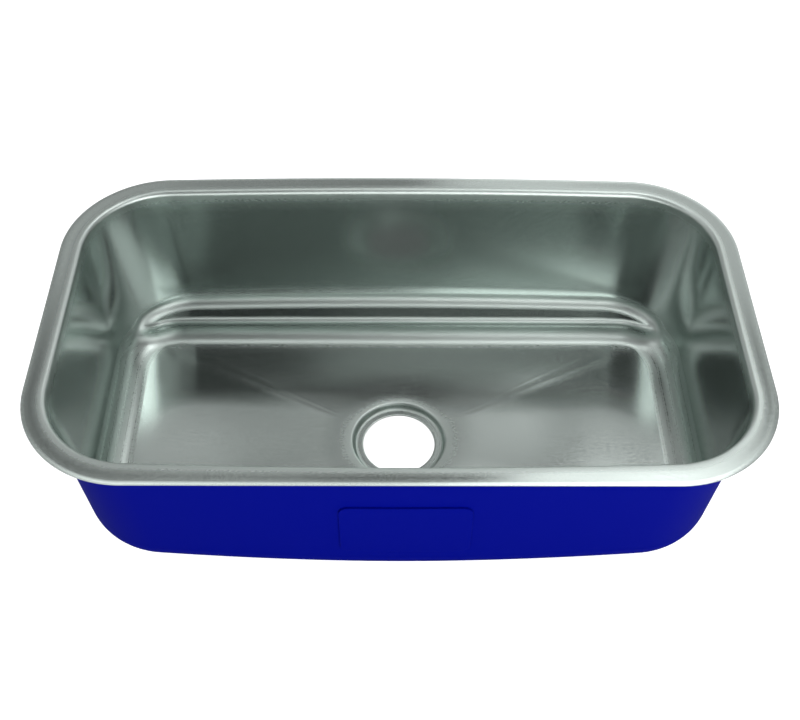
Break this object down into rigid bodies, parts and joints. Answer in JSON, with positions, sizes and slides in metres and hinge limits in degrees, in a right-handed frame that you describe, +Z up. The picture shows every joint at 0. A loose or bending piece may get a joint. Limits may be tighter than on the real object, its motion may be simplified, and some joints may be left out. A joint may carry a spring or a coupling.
{
  "type": "undermount kitchen sink",
  "caption": "Wide undermount kitchen sink of brushed stainless steel with rounded corners, a mounting flange, a low rear ledge, a round drain and a blue sound-deadening underside.",
  "frame": {"origin": "middle of the flange's top face plane, at half the flange's width and depth, where the underside of the countertop lies", "axes": "+X to the right as seen by a person standing at the sink, +Y to the back wall with the ledge, +Z up out of the bowl"},
  "size_m": [0.7906, 0.4572, 0.2286],
  "materials": {
    "stainless_steel": "fine brushed, satin",
    "blue_coating": "sprayed, matte",
    "pad_rubber": "flat sheet"
  },
  "bodies": {
    "root": {"bowl": "stainless_steel", "undercoat": "blue_coating", "sound_pad_front": "pad_rubber", "sound_pad_back": "pad_rubber", "sound_pad_left": "pad_rubber", "sound_pad_right": "pad_rubber", "sound_pad_floor_left": "pad_rubber", "sound_pad_floor_right": "pad_rubber"}
  },
  "joints": []
}
